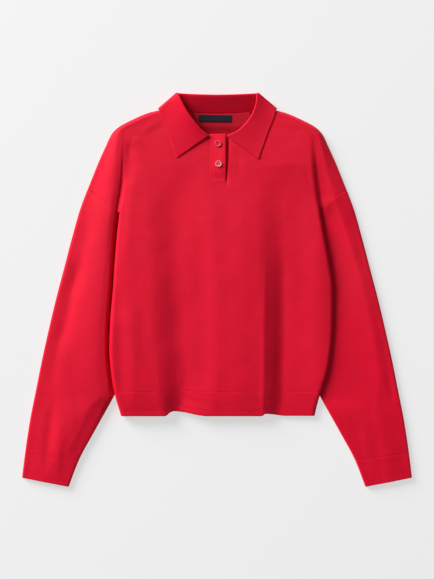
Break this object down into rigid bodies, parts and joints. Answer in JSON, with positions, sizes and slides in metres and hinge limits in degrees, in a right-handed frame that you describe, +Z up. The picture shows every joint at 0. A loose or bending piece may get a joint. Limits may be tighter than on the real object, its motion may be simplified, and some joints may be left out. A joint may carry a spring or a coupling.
{
  "type": "polo sweater",
  "caption": "Long-sleeved knitted polo sweater laid flat on its back, with a turned-down collar, a short buttoned placket and dropped shoulders.",
  "frame": {"origin": "centre of the sweater's overall length and width, on the surface that it lies on", "axes": "+Z up from the surface, +Y from the hem towards the collar, +X to the viewer's right"},
  "size_m": [0.7026, 0.7084, 0.024],
  "materials": {
    "knit": "matt fine knit",
    "button_shell": "polished",
    "label_tape": "woven tape"
  },
  "bodies": {
    "root": {"front_panel": "knit", "back_panel": "knit", "hem_band_front": "knit", "hem_band_back": "knit", "sleeve_left": "knit", "sleeve_right": "knit", "cuff_left": "knit", "cuff_right": "knit", "collar": "knit", "placket_upper_band": "knit", "placket_under_band": "knit", "button_upper": "button_shell", "button_lower": "button_shell", "neck_label": "label_tape"}
  },
  "joints": []
}
